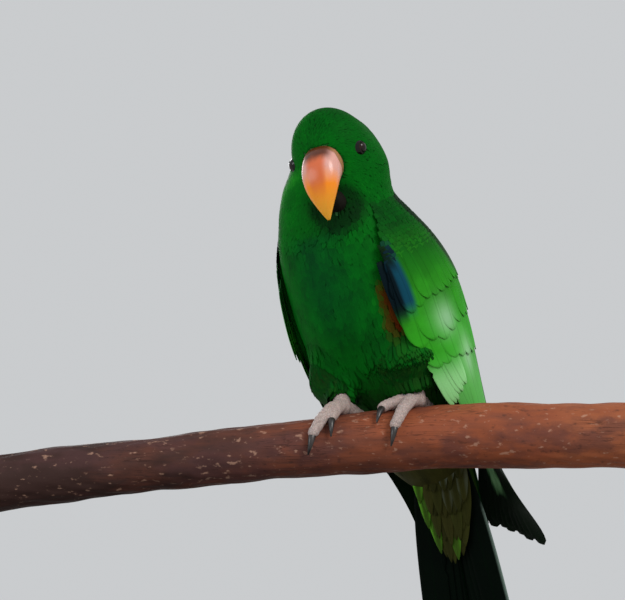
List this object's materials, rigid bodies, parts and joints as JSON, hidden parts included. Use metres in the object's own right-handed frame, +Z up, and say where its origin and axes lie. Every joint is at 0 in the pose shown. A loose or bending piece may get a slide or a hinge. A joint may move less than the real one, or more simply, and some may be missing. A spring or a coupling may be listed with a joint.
{
  "type": "parrot model",
  "caption": "Life-size still model of a male eclectus parrot gripping a short length of wooden perch on a plain display stand.",
  "frame": {"origin": "centre of the display stand's underside", "axes": "+X along the perch, towards the bird's left side; -Y towards the viewer that the bird faces, so the bird looks towards -Y and -X; +Z up"},
  "size_m": [0.38, 0.208, 0.3107],
  "materials": {
    "green_plumage": "soft green body feathers with a streaky lie, brighter on the crown and darker on the belly",
    "wing_feathers": "bright green overlapping wing feathers, blue along the front edge, black flight feathers",
    "tail_feathers": "black underside, dark green and blue above, pale tips, olive coverts",
    "orange_bill": "glossy horn, orange with a yellow tip",
    "black_bill": "glossy black horn",
    "dark_eye": "wet dark eye with a thin brown iris",
    "scaly_skin": "scaly pinkish grey skin",
    "dark_claw": "dark horn",
    "rough_wood": "rough reddish brown bark, matt",
    "dark_stand": "plain satin dark grey"
  },
  "bodies": {
    "root": {"bill_lower": "black_bill", "bill_upper": "orange_bill", "claw_left_1": "dark_claw", "claw_left_2": "dark_claw", "claw_left_3": "dark_claw", "claw_left_4": "dark_claw", "claw_right_1": "dark_claw", "claw_right_2": "dark_claw", "claw_right_3": "dark_claw", "claw_right_4": "dark_claw", "eye_left": "dark_eye", "eye_right": "dark_eye", "foot_left": "scaly_skin", "foot_right": "scaly_skin", "head": "green_plumage", "neck": "green_plumage", "perch": "rough_wood", "stand_base": "dark_stand", "stand_rod_left": "dark_stand", "stand_rod_right": "dark_stand", "tail": "tail_feathers", "thigh_left": "green_plumage", "thigh_right": "green_plumage", "torso": "green_plumage", "wing_left": "wing_feathers", "wing_right": "wing_feathers"}
  },
  "joints": []
}
